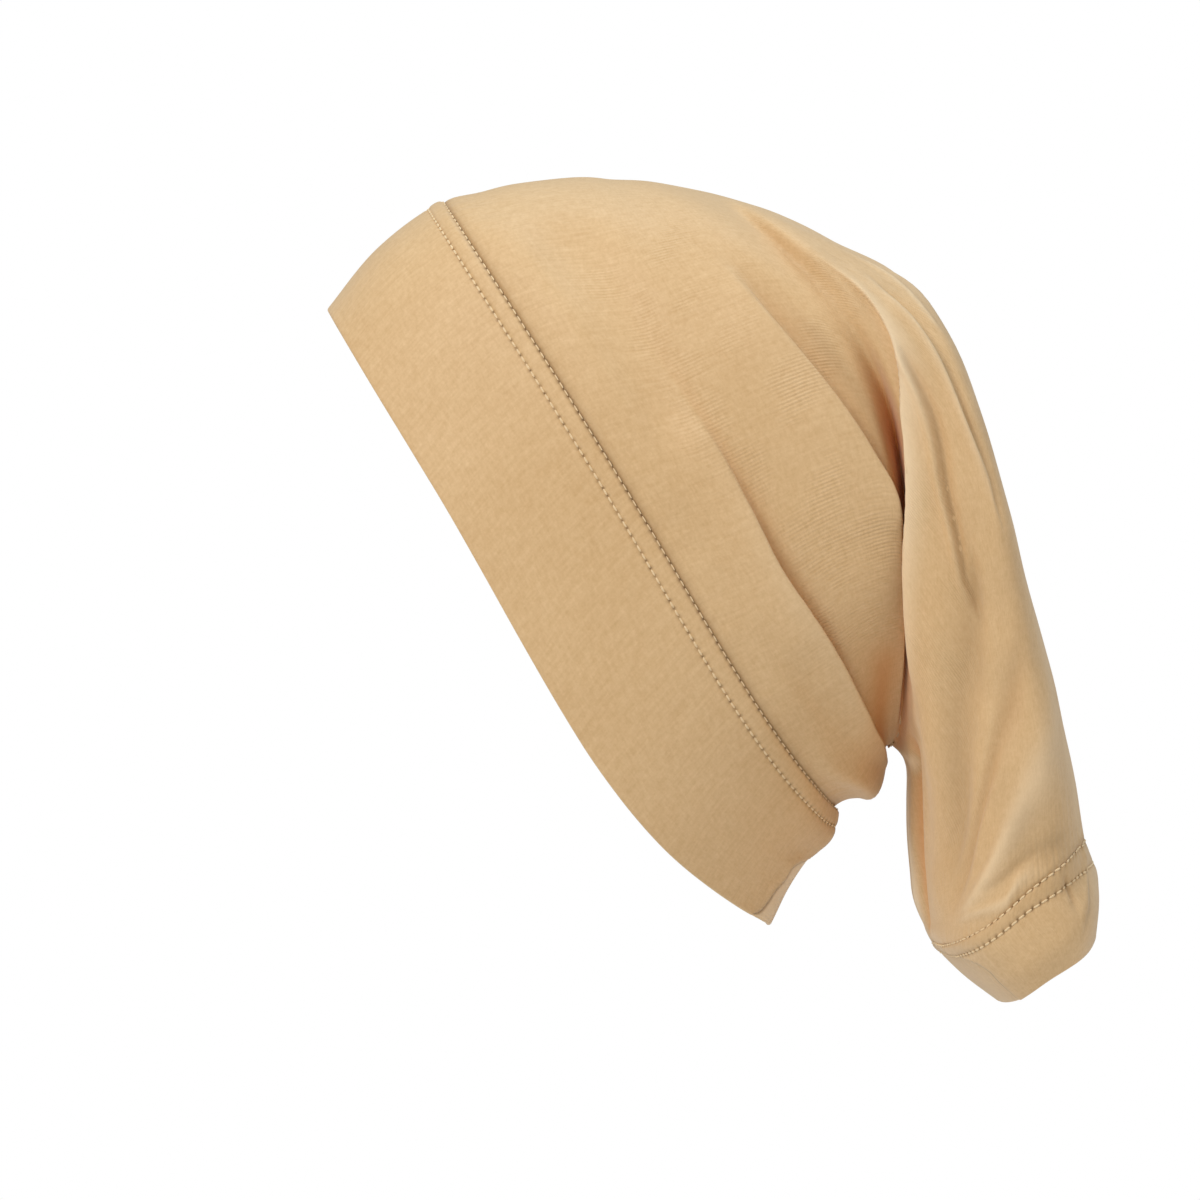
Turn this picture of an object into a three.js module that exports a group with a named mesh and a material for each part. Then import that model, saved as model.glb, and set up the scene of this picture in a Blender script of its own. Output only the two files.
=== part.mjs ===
// A knitted underscarf cap as it sits on a head: a wide doubled band, a soft tube that wraps the
// crown and hangs down behind as an open tail, and a narrow doubled band at the tail's end.
// Millimetres. +X runs from the face to the back of the head, +Y across it, +Z up. The origin is
// where the top of the head touches the inside of the crown.
import * as THREE from "three";

// Driving sizes.
const capLength = 250; // front edge of the band to the back of the tail
const capHeight = 268; // top of the crown to the lowest tip of the tail
const capWidth = 155; // across the crown
const tubeLength = 371; // cloth along the side, front edge to tail end
const bandWidth = 51; // doubled front band, with its strip
const tailBandWidth = 28; // doubled band at the tail's end, with its strip
const stripWidth = 5.8; // raised strip between a band's two rows of stitching
const stripRise = 0.6;
const clothWall = 1.2;
const bandWall = 2.2; // two layers of the cloth
const bandProud = 0.5; // how far a doubled band stands out from the single cloth
const seamGap = 0.3; // clearance where two pieces meet
const grooveDepth = 34; // how far the cloth tucks in between the head and the tail
const crownFold = 3.4; // height of the strongest fold on the crown
const tailFold = 4.5; // height of the strongest fold on the tail
const bandFold = 1.6; // height of the slack in the band at the nape
const joinRise = 0.9; // ridge where a band's two ends are joined
const joinWidth = 4.5;

// Rings of the tube, each from a point on top of it to a point under it, as x and z in shares of
// capLength and capHeight. at is a share of tubeLength, and width of capWidth. lead is how far
// the ring's sides run ahead of its chord, and hump adds to it a third of the way down, as shares
// of capLength.
const rings = [
  { at: 0, top: [-0.316, -0.157], low: [0.251, -0.895], width: 0.87, lead: 0.024 }, // front edge
  { at: 0.066, top: [-0.248, -0.085], low: [0.282, -0.844], width: 0.93, lead: 0.013 },
  { at: 0.138, top: [-0.168, -0.029], low: [0.345, -0.764], width: 0.975, lead: 0.001 }, // seam
  { at: 0.172, top: [-0.122, -0.016], low: [0.367, -0.75], width: 1, lead: -0.006 },
  { at: 0.2, top: [-0.077, -0.005], low: [0.386, -0.739], width: 1, lead: 0 },
  { at: 0.228, top: [0.001, 0.003], low: [0.403, -0.711], width: 1.01, lead: 0.014 },
  { at: 0.29, top: [0.048, 0.003], low: [0.402, -0.689], width: 0.985, lead: -0.05 },
  { at: 0.36, top: [0.098, 0], low: [0.407, -0.68], width: 0.945, lead: -0.115, hump: -0.005 },
  { at: 0.44, top: [0.173, -0.014], low: [0.415, -0.683], width: 0.93, lead: -0.078, hump: -0.048 },
  { at: 0.535, top: [0.225, -0.031], low: [0.43, -0.71], width: 0.95, lead: -0.045, hump: -0.077 }, // tail
  { at: 0.578, top: [0.263, -0.045], low: [0.432, -0.75], width: 0.98, lead: -0.055, hump: -0.072 },
  { at: 0.62, top: [0.327, -0.073], low: [0.434, -0.798], width: 1.01, lead: -0.078, hump: -0.045 },
  { at: 0.67, top: [0.424, -0.125], low: [0.437, -0.835], width: 1.03, lead: -0.088 },
  { at: 0.745, top: [0.497, -0.27], low: [0.441, -0.867], width: 1.05, lead: -0.078 },
  { at: 0.812, top: [0.563, -0.461], low: [0.451, -0.895], width: 1.06, lead: -0.06 },
  { at: 0.924, top: [0.662, -0.796], low: [0.467, -0.923], width: 1.03, lead: -0.036 }, // tail seam
  { at: 0.965, top: [0.676, -0.853], low: [0.506, -0.958], width: 1, lead: -0.034 },
  { at: 1, top: [0.671, -0.91], low: [0.55, -0.991], width: 0.93, lead: -0.018 }, // tail end
];

// Folds that run round the tube. Each starts at start and ends at end along the tube, between the
// shares from and to of the half turn, 0 on top and 1 underneath. before and after are its widths
// ahead of its crest and behind it. All lengths along the tube are shares of tubeLength.
const ringFolds = [
  { start: 0.105, end: 0.105, from: 0.72, to: 1, before: 0.02, after: 0.016, height: bandFold },
  { start: 0.168, end: 0.168, from: 0.04, to: 0.85, before: 0.018, after: 0.022, height: 0.35 * crownFold },
  { start: 0.214, end: 0.222, from: 0.06, to: 0.55, before: 0.02, after: 0.014, height: -0.6 * crownFold },
  { start: 0.238, end: 0.244, from: 0.36, to: 0.97, before: 0.026, after: 0.012, height: crownFold },
  { start: 0.264, end: 0.268, from: 0.42, to: 0.97, before: 0.014, after: 0.026, height: -0.9 * crownFold },
  { start: 0.325, end: 0.36, from: 0.14, to: 0.66, before: 0.034, after: 0.018, height: crownFold },
  { start: 0.6, end: 0.61, from: 0.3, to: 0.66, before: 0.014, after: 0.016, height: -0.4 * tailFold },
  { start: 0.66, end: 0.69, from: 0.3, to: 0.85, before: 0.03, after: 0.03, height: 0.5 * tailFold },
  { start: 0.81, end: 0.75, from: 0.24, to: 0.92, before: 0.03, after: 0.03, height: -tailFold },
  { start: 0.864, end: 0.87, from: 0.12, to: 0.92, before: 0.022, after: 0.016, height: 0.5 * tailFold },
  { start: 0.905, end: 0.886, from: 0.1, to: 0.8, before: 0.014, after: 0.012, height: -0.5 * tailFold },
];

// Folds that run along the tail, near the place around on the half turn, drifting towards the
// underside. from and to are shares of tubeLength.
const tailFolds = [
  { around: 0.26, drift: 0.05, width: 0.04, from: 0.46, to: 0.74, height: 0.6 },
  { around: 0.16, drift: 0, width: 0.05, from: 0.5, to: 0.92, height: -0.5 },
  { around: 0.08, drift: 0, width: 0.05, from: 0.48, to: 0.95, height: 0.4 },
];
const farSide = { slide: 0.012, share: 0.8 }; // the far side's folds, moved along and made softer

const foldFade = 0.12; // share of the half turn over which a fold starts and ends
// Where the cloth tucks in between the head and the tail.
const groove = { at: 0.445, before: 0.07, after: 0.045, from: 0.26, full: 0.46 };
const edgeSweep = { depth: 0.118, end: 0.22 }; // how the front edge runs ahead at the ears
const humpPeak = 1 / 3; // how far down a ring its hump is highest
const crownSquare = 2.15; // 2 is an ellipse, more is squarer
const tailSquare = 3;
const tailStart = { from: 0.44, to: 0.56 }; // where the ring turns from one to the other
const tailFlare = { depth: 0.06, from: 0.62 }; // how much deeper the tail's far side is at its end
const joinAround = 0.475; // where a band's ends are joined, as a share of the whole turn

// How finely the faceted cloth is cut.
const columns = 44;
const rowStep = 8.6;
const nudge = 0.002; // step for slopes, as a share of the tube or of its turn

const rampUp = (low, high, value) => THREE.MathUtils.smoothstep(value, low, high);
const bell = (offset, before, after) => Math.exp(-((offset / (offset < 0 ? before : after)) ** 2));
const halfTurnOf = (turn) => 1 - Math.abs(1 - 2 * turn);
const wrap = (turn) => ((turn % 1) + 1) % 1;

// A value of the rings at a place along the tube, on a smooth curve through the table's rows.
function between(value, at) {
  const last = rings.length - 1;
  const slope = (k) => {
    const a = rings[Math.max(k - 1, 0)];
    const b = rings[Math.min(k + 1, last)];
    return (value(b) - value(a)) / (b.at - a.at);
  };
  let k = 0;
  while (k < last - 1 && at > rings[k + 1].at) k += 1;
  const [a, b] = [rings[k], rings[k + 1]];
  const span = b.at - a.at;
  const t = (at - a.at) / span;
  const rise = value(b) - value(a);
  const [m, n] = [slope(k) * span, slope(k + 1) * span];
  return value(a) + t * (m + t * (3 * rise - 2 * m - n + t * (m + n - 2 * rise)));
}

function endOfRing(end, at) {
  const x = between((ring) => ring[end][0], at) * capLength;
  const z = between((ring) => ring[end][1], at) * capHeight;
  return new THREE.Vector2(x, z);
}

// A point of the plain tube: at runs along it, turn round it from the top, by the -Y side.
function tubePoint(at, turn) {
  const square = crownSquare + (tailSquare - crownSquare) * rampUp(tailStart.from, tailStart.to, at);
  const angle = 2 * Math.PI * turn;
  const [c, s] = [Math.cos(angle), Math.sin(angle)];
  const reach = (Math.abs(c) ** square + Math.abs(s) ** square) ** (-1 / square);
  const [along, across] = [reach * c, reach * s];

  const top = endOfRing("top", at);
  const low = endOfRing("low", at);
  const centre = top.clone().add(low).multiplyScalar(0.5);
  const chord = top.clone().sub(low).multiplyScalar(0.5);
  const ahead = new THREE.Vector2(-chord.y, chord.x).normalize();

  const down = (1 - along) / 2;
  const sweep = edgeSweep.depth * Math.max(0, 1 - at / edgeSweep.end) * down ** 3;
  const humpShare = (down / humpPeak) * ((1 - down) / (1 - humpPeak)) ** 2;
  const hump = between((ring) => ring.hump ?? 0, at) * humpShare;
  const lead = (between((ring) => ring.lead, at) + sweep + hump) * capLength;
  const deeper = 1 - tailFlare.depth * rampUp(tailFlare.from, 1, at) * across;
  const place = centre.addScaledVector(chord, along * deeper).addScaledVector(ahead, across ** 2 * lead);

  const tuckedSide = rampUp(groove.from, groove.full, halfTurnOf(turn));
  const tuck = grooveDepth * tuckedSide * bell(at - groove.at, groove.before, groove.after);
  const half = (between((ring) => ring.width, at) * capWidth) / 2 - tuck;
  return new THREE.Vector3(place.x, -half * across, place.y);
}

// How far the folds lift the cloth off the plain tube.
function foldLift(at, turn) {
  const halfTurn = halfTurnOf(turn);
  const side = turn > 0.5 ? farSide : { slide: 0, share: 1 };
  const place = at - side.slide;
  let lift = 0;
  for (const fold of ringFolds) {
    const fadeIn = rampUp(fold.from, fold.from + foldFade, halfTurn);
    const fadeOut = fold.to < 1 ? 1 - rampUp(fold.to - foldFade, fold.to, halfTurn) : 1;
    const crest = THREE.MathUtils.mapLinear(halfTurn, fold.from, fold.to, fold.start, fold.end);
    lift += fold.height * fadeIn * fadeOut * bell(place - crest, fold.before, fold.after);
  }
  for (const fold of tailFolds) {
    const t = THREE.MathUtils.clamp((place - fold.from) / (fold.to - fold.from), 0, 1);
    const around = fold.around + fold.drift * t;
    const swell = Math.sin(Math.PI * t) * bell(halfTurn - around, fold.width, fold.width);
    lift += fold.height * tailFold * swell;
  }
  return lift * side.share;
}

const alongStep = (surface, at, turn) =>
  surface(Math.min(at + nudge, 1), turn).sub(surface(Math.max(at - nudge, 0), turn));

// The direction out of a surface that is a function of at and turn.
function outward(surface, at, turn) {
  const round = surface(at, turn + nudge).sub(surface(at, turn - nudge));
  return alongStep(surface, at, turn).cross(round).normalize();
}

function drapedPoint(at, turn) {
  const round = wrap(turn);
  return tubePoint(at, round).addScaledVector(outward(tubePoint, at, round), foldLift(at, round));
}

// One piece of the tube, a closed wall between two places along it. stations are millimetres of
// cloth from the front edge, and a folded end is rounded over its edge.
function clothPiece({ name, stations, turns, wall, proud, relief, foldedStart, foldedEnd, material }) {
  const points = [];
  const ring = (station, depth, ahead) => {
    const at = station / tubeLength;
    turns.forEach((turn) => {
      const out = outward(drapedPoint, at, turn);
      const along = alongStep(drapedPoint, at, turn).normalize();
      const lift = proud + relief(station, turn) - depth;
      points.push(drapedPoint(at, turn).addScaledVector(out, lift).addScaledVector(along, ahead));
    });
  };
  stations.forEach((station) => ring(station, 0, 0));
  if (foldedEnd) ring(stations.at(-1), wall / 2, wall / 2);
  [...stations].reverse().forEach((station) => ring(station, wall, 0));
  if (foldedStart) ring(stations[0], wall / 2, -wall / 2);

  const round = turns.length;
  const total = points.length / round;
  const index = [];
  for (let i = 0; i < total; i += 1) {
    for (let j = 0; j < round; j += 1) {
      const next = (j + 1) % round;
      const after = ((i + 1) % total) * round;
      const [a, b, c, d] = [i * round + j, i * round + next, after + j, after + next];
      index.push(a, c, b, b, c, d);
    }
  }
  const geometry = new THREE.BufferGeometry().setFromPoints(points).setIndex(index);
  geometry.computeVertexNormals();
  const mesh = new THREE.Mesh(geometry, material);
  mesh.name = name;
  return mesh;
}

const spaced = (count, from, to) =>
  Array.from({ length: count + 1 }, (_, i) => from + ((to - from) * i) / count);
const evenTurns = spaced(columns, 0, 1).slice(0, columns);

// A band's columns, with closer ones over the ridge where its ends are joined.
function bandTurns() {
  const half = joinWidth / 2 / tubeLength;
  const close = spaced(4, joinAround - 2 * half, joinAround + 2 * half);
  const clear = evenTurns.filter((turn) => Math.abs(turn - joinAround) > 3 * half);
  return [...clear, ...close].sort((a, b) => a - b);
}

// A band's relief: the raised strip beside its seam, and the ridge where its ends are joined.
function bandRelief(stripStart) {
  return (station, turn) => {
    const share = THREE.MathUtils.clamp((station - stripStart) / stripWidth, 0, 1);
    const ridgeWidth = joinWidth / 3 / tubeLength;
    const ridge = joinRise * bell(turn - joinAround, ridgeWidth, ridgeWidth);
    return stripRise * Math.sin(Math.PI * share) + ridge;
  };
}

const knit = new THREE.MeshStandardMaterial({ color: 0xd8b98c, roughness: 0.9, metalness: 0 });
const doubledKnit = new THREE.MeshStandardMaterial({ color: 0xd9b784, roughness: 0.9, metalness: 0 });

function frontBand() {
  const stripStart = bandWidth - stripWidth;
  return clothPiece({
    name: "front_band",
    stations: [...spaced(6, 0, stripStart).slice(0, 6), ...spaced(4, stripStart, bandWidth)],
    turns: bandTurns(),
    wall: bandWall,
    proud: bandProud,
    relief: bandRelief(stripStart),
    foldedStart: true,
    foldedEnd: false,
    material: doubledKnit,
  });
}

function crownTube() {
  const from = bandWidth + seamGap;
  const to = tubeLength - tailBandWidth - seamGap;
  return clothPiece({
    name: "crown_tube",
    stations: spaced(Math.round((to - from) / rowStep), from, to),
    turns: evenTurns,
    wall: clothWall,
    proud: 0,
    relief: () => 0,
    foldedStart: false,
    foldedEnd: false,
    material: knit,
  });
}

function tailBand() {
  const stripStart = tubeLength - tailBandWidth;
  const stripEnd = stripStart + stripWidth;
  return clothPiece({
    name: "tail_band",
    stations: [...spaced(4, stripStart, stripEnd), ...spaced(4, stripEnd, tubeLength).slice(1)],
    turns: bandTurns(),
    wall: bandWall,
    proud: bandProud,
    relief: bandRelief(stripStart),
    foldedStart: false,
    foldedEnd: true,
    material: doubledKnit,
  });
}

const cap = new THREE.Group();
cap.add(frontBand(), crownTube(), tailBand());

export default cap;
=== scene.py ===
import math

import bpy
import numpy as np
from mathutils import Matrix, Vector


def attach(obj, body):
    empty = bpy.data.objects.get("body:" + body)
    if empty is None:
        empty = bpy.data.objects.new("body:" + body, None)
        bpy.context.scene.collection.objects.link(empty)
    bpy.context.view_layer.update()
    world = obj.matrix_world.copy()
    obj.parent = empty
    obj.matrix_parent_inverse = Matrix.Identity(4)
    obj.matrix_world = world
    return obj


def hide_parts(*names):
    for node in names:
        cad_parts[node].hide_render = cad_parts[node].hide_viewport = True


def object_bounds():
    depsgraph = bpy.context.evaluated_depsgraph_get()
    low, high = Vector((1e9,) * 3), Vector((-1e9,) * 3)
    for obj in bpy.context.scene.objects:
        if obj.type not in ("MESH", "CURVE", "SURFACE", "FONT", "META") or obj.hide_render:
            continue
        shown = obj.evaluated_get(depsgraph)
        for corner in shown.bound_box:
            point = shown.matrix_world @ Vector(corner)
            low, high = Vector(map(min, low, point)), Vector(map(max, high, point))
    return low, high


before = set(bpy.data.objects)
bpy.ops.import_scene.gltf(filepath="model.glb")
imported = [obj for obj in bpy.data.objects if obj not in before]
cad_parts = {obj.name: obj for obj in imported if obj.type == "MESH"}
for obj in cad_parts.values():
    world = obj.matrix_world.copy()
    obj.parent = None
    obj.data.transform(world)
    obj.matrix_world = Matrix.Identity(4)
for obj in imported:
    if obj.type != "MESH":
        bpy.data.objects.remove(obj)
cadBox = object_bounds()
bpy.ops.object.select_all(action="DESELECT")
print("frame loaded")

# Lengths are in millimetres until a mesh is made. The picture is 1200 pixels wide and high.
picture = {
    "pixel": 0.325,  # millimetres
    "origin": (575, 181.7),  # pixels, where the frame's origin shows under the crown
    "middle": 600,
    "side": 1200,
    "distance": 5000,  # from the camera to the cap's middle plane
    "sensor": 36,
}


def makeCamera():
    data = bpy.data.cameras.new("camera")
    data.sensor_width = picture["sensor"]
    data.lens = data.sensor_width * picture["distance"] / (picture["side"] * picture["pixel"])
    viewer = bpy.data.objects.new("camera", data)
    x = (picture["middle"] - picture["origin"][0]) * picture["pixel"]
    z = (picture["origin"][1] - picture["middle"]) * picture["pixel"]
    viewer.location = Vector((x, -picture["distance"], z)) / 1000
    viewer.rotation_euler = (math.pi / 2, 0, 0)
    bpy.context.collection.objects.link(viewer)
    bpy.context.scene.camera = viewer


makeCamera()
print("camera made")

# The cap's form as its solids have it. The shares along x count capLength, those along z
# capHeight, and those across capWidth.
sizes = {
    "capLength": 250,
    "capHeight": 268,
    "capWidth": 155,
    "tubeLength": 371,
    "halfRound": 280,  # cloth round half the tube
    "bandWidth": 51,
    "tailBandWidth": 28,
    "stripWidth": 5.8,  # between a band's two rows of stitching
}

# at, top x, top z, low x, low z, width, lead, hump
rings = np.array([
    (0, -0.316, -0.157, 0.251, -0.895, 0.87, 0.024, 0),  # front edge
    (0.066, -0.248, -0.085, 0.282, -0.844, 0.93, 0.013, 0),
    (0.138, -0.168, -0.029, 0.345, -0.764, 0.975, 0.001, 0),  # band's seam
    (0.172, -0.122, -0.016, 0.367, -0.75, 1, -0.006, 0),
    (0.2, -0.077, -0.005, 0.386, -0.739, 1, 0, 0),
    (0.228, 0.001, 0.003, 0.403, -0.711, 1.01, 0.014, 0),
    (0.29, 0.048, 0.003, 0.402, -0.689, 0.985, -0.05, 0),
    (0.36, 0.098, 0, 0.407, -0.68, 0.945, -0.115, -0.005),
    (0.44, 0.173, -0.014, 0.415, -0.683, 0.93, -0.078, -0.048),  # groove
    (0.535, 0.225, -0.031, 0.43, -0.71, 0.95, -0.045, -0.077),  # tail
    (0.578, 0.263, -0.045, 0.432, -0.75, 0.98, -0.055, -0.072),
    (0.62, 0.327, -0.073, 0.434, -0.798, 1.01, -0.078, -0.045),
    (0.67, 0.424, -0.125, 0.437, -0.835, 1.03, -0.088, 0),
    (0.745, 0.497, -0.27, 0.441, -0.867, 1.05, -0.078, 0),
    (0.812, 0.563, -0.461, 0.451, -0.895, 1.06, -0.06, 0),
    (0.924, 0.662, -0.796, 0.467, -0.923, 1.03, -0.036, 0),  # tail band's seam
    (0.965, 0.676, -0.853, 0.506, -0.958, 1, -0.034, 0),
    (1, 0.671, -0.91, 0.55, -0.991, 0.93, -0.018, 0),  # tail end
])

form = {
    "crownSquare": 2.15,  # 2 is an ellipse
    "tailSquare": 3,
    "squareFrom": 0.44,
    "squareTo": 0.56,
    "sweep": 0.118,  # how far the front edge's lower part swings back
    "sweepTo": 0.22,
    "humpPeak": 1 / 3,
    "taper": 0.06,
    "taperFrom": 0.62,
    "grooveDepth": 15,
    "grooveAt": 0.464,
    "grooveBefore": 0.044,
    "grooveAfter": 0.028,
    "grooveFrom": 0.33,  # half turn
    "grooveFull": 0.52,
}


def rampUp(low, high, value):
    t = np.clip((value - low) / (high - low), 0, 1)
    return t * t * (3 - 2 * t)


def bell(offset, before, after):
    return np.exp(-(offset / np.where(offset < 0, before, after)) ** 2)


# a smooth curve through points, flat beyond its ends
def smoothLine(x, xs, ys):
    xs, ys = np.asarray(xs, float), np.asarray(ys, float)
    last = len(xs) - 1
    k = np.arange(len(xs))
    low, high = np.maximum(k - 1, 0), np.minimum(k + 1, last)
    slope = (ys[high] - ys[low]) / (xs[high] - xs[low])
    x = np.clip(x, xs[0], xs[-1])
    i = np.clip(np.searchsorted(xs, x) - 1, 0, last - 1)
    span = xs[i + 1] - xs[i]
    t = (x - xs[i]) / span
    rise = ys[i + 1] - ys[i]
    m, n = slope[i] * span, slope[i + 1] * span
    return ys[i] + t * (m + t * (3 * rise - 2 * m - n + t * (m + n - 2 * rise)))


def ringValue(column, at):
    return smoothLine(at, rings[:, 0], rings[:, column])


# 0 along the top of the tube and 1 along its underside
def halfTurnOf(turn):
    return 1 - np.abs(1 - 2 * turn)


# at runs along the tube, and turn round it from the top by the near side
def tubePoints(at, turn):
    square = form["crownSquare"] + (form["tailSquare"] - form["crownSquare"]) * rampUp(
        form["squareFrom"], form["squareTo"], at)
    angle = 2 * math.pi * turn
    c, s = np.cos(angle), np.sin(angle)
    reach = (np.abs(c) ** square + np.abs(s) ** square) ** (-1 / square)
    along, across = reach * c, reach * s
    topX, topZ = ringValue(1, at) * sizes["capLength"], ringValue(2, at) * sizes["capHeight"]
    lowX, lowZ = ringValue(3, at) * sizes["capLength"], ringValue(4, at) * sizes["capHeight"]
    chordX, chordZ = (topX - lowX) / 2, (topZ - lowZ) / 2
    length = np.hypot(chordX, chordZ)
    down = (1 - along) / 2
    sweep = form["sweep"] * np.maximum(0, 1 - at / form["sweepTo"]) * down ** 3
    peak = form["humpPeak"]
    hump = ringValue(7, at) * (down / peak) * ((1 - down) / (1 - peak)) ** 2
    lead = (ringValue(6, at) + sweep + hump) * sizes["capLength"] * across ** 2
    reachIn = along * (1 - form["taper"] * rampUp(form["taperFrom"], 1, at) * across)
    x = (topX + lowX) / 2 + chordX * reachIn - chordZ / length * lead
    z = (topZ + lowZ) / 2 + chordZ * reachIn + chordX / length * lead
    tuck = form["grooveDepth"] * rampUp(form["grooveFrom"], form["grooveFull"], halfTurnOf(turn))
    tuck = tuck * bell(at - form["grooveAt"], form["grooveBefore"], form["grooveAfter"])
    half = ringValue(5, at) * sizes["capWidth"] / 2 - tuck
    return np.stack([x, -half * across, z], axis=-1)


def unit(v):
    return v / np.maximum(np.linalg.norm(v, axis=-1, keepdims=True), 1e-9)


# Directions along and round a grid of points, whose last axis closes on itself.
def gridDirections(points):
    along = unit(np.gradient(points, axis=0))
    around = unit(np.roll(points, -1, axis=1) - np.roll(points, 1, axis=1))
    return along, around, unit(np.cross(around, along))


grid = {
    "rows": 496,
    "columns": 800,
    "facing": -0.08,  # cloth whose outward y is above this doesn't show in the picture
}
gridAt = np.linspace(0, 1, grid["rows"])
gridTurn = np.arange(grid["columns"]) / grid["columns"]

# What the cloth's outline needs, in millimetres: outward along the tube's top and underside at
# each place along it, and forward along the front edge, the tail band's seam and the tail's
# end at each half turn.
outline = {
    "top": ((0, 1), (0.06, 2), (0.14, 1.4), (0.2, 0.8), (0.3, -0.5), (0.45, 0.4), (0.53, 1), (0.67, 1),
            (0.74, 0.2), (0.77, 0), (0.81, 0.9), (0.84, 2.6), (0.87, 3.2), (0.9, 1.6), (0.925, -0.2),
            (0.948, 1), (0.97, 0.4), (1, 0)),
    "topTo": 0.4,  # half turn
    "low": ((0, 1), (0.06, 0.3), (0.09, 0.4), (0.115, 1.8), (0.135, -2.2), (0.155, -2), (0.175, -1),
            (0.2, 0.8), (0.215, 1.6), (0.235, 1), (0.26, 0.3), (0.285, 0.2), (0.31, 0.3), (0.34, 1),
            (0.42, 1), (0.48, 0.4), (0.54, 0), (1, 0)),
    "lowFrom": 0.74,  # half turn
    "edge": ((0, 0), (0.35, 0), (0.5, 1.7), (0.6, 1.6), (0.66, 0.5), (0.72, -0.7), (0.8, -1.8),
             (0.88, -1.2), (1, 0.6)),
    "edgeEnd": 8,  # before the band's seam
    "tailSeam": ((0, 0), (0.12, 2), (0.28, 7.5), (0.46, 9), (0.62, 6.5), (0.85, 1), (1, 0)),
    "tailEnd": ((0, 0), (0.12, 0.4), (0.28, 2), (0.46, 3), (0.62, 3), (0.85, 0.5), (1, 0)),
    "tailFrom": 296,
}


def fitOutline(points):
    along, _, out = gridDirections(points)
    u = (gridAt * sizes["tubeLength"])[:, None]
    half = halfTurnOf(gridTurn)[None, :]
    top, low = (smoothLine(gridAt[:, None], *zip(*outline[key])) for key in ("top", "low"))
    edge, seam, end = (smoothLine(half, *zip(*outline[key])) for key in ("edge", "tailSeam", "tailEnd"))
    lift = top * (1 - rampUp(0, outline["topTo"], half)) + low * rampUp(outline["lowFrom"], 1, half)
    front = edge * (1 - rampUp(0, sizes["bandWidth"] - outline["edgeEnd"], u))
    bandStart = sizes["tubeLength"] - sizes["tailBandWidth"]
    inBand = rampUp(bandStart, sizes["tubeLength"], u)
    hem = rampUp(outline["tailFrom"], bandStart, u) * (seam + (end - seam) * inBand)
    return points + out * lift[..., None] - along * (front + hem)[..., None]


plainGrid = fitOutline(tubePoints(gridAt[:, None], gridTurn[None, :]))
alongGrid, aroundGrid, outGrid = gridDirections(plainGrid)
nearColumns = grid["columns"] // 2 + 1
cloth = {
    "u": (gridAt * sizes["tubeLength"])[:, None] * np.ones(nearColumns),
    "v": (halfTurnOf(gridTurn[:nearColumns]) * sizes["halfRound"])[None, :] * np.ones((grid["rows"], 1)),
}


# Where points show in the picture, as pixels.
def picturePlaces(points):
    scale = picture["distance"] / (picture["distance"] + points[..., 1]) / picture["pixel"]
    middleX = (picture["middle"] - picture["origin"][0]) * picture["pixel"]
    middleZ = (picture["origin"][1] - picture["middle"]) * picture["pixel"]
    return (picture["middle"] + (points[..., 0] - middleX) * scale,
            picture["middle"] - (points[..., 2] - middleZ) * scale)


# bilinear reading of a grid at places along the cloth in millimetres and turns round it
def readGrid(values, station, turn):
    row = np.clip(station / sizes["tubeLength"], 0, 1) * (grid["rows"] - 1)
    column = (turn % 1) * grid["columns"]
    i = np.minimum(row.astype(int), grid["rows"] - 2)
    j = column.astype(int) % grid["columns"]
    k = (j + 1) % grid["columns"]
    s, t = (row - i)[..., None], (column - np.floor(column))[..., None]
    return (values[i, j] * (1 - s) * (1 - t) + values[i + 1, j] * s * (1 - t)
            + values[i, k] * (1 - s) * t + values[i + 1, k] * s * t)


nearX, nearY = picturePlaces(plainGrid[:, :nearColumns])
nearHidden = outGrid[:, :nearColumns, 1] > grid["facing"]
nearTail = (gridAt > form["grooveAt"])[:, None]

search = {
    "nearest": 6,  # points of the cloth that a place is worked out from
    "softness": 0.5,
    "rounds": 4,
    "farthest": 8,  # pixels that the raised cloth may move an aim by
}


# Where a point of the picture lies on the near side's cloth, on the crown or on the tail.
def clothPlace(x, y, part):
    gap = (nearX - x) ** 2 + (nearY - y) ** 2
    gap = np.where(nearHidden | (nearTail != (part == "tail")), np.inf, gap).ravel()
    nearest = np.argpartition(gap, search["nearest"])[:search["nearest"]]
    weight = 1 / (gap[nearest] + search["softness"])
    weight = weight / weight.sum()
    return (cloth["u"].flat[nearest] * weight).sum(), (cloth["v"].flat[nearest] * weight).sum()


# Places on the cloth that show at the given points of the picture once the cloth is raised.
def raisedPlaces(points, part, rise):
    points = np.array(points, float)
    aims = points.copy()
    for _ in range(search["rounds"]):
        places = np.array([clothPlace(x, y, part) for x, y in aims])
        station, turn = places[:, 0], places[:, 1] / sizes["halfRound"] / 2
        raised = readGrid(plainGrid, station, turn) + readGrid(outGrid, station, turn) * rise[:, None]
        moved = aims - np.stack(picturePlaces(raised), axis=-1)
        aims = points + np.clip(moved, -search["farthest"], search["farthest"])
    return places


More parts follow.
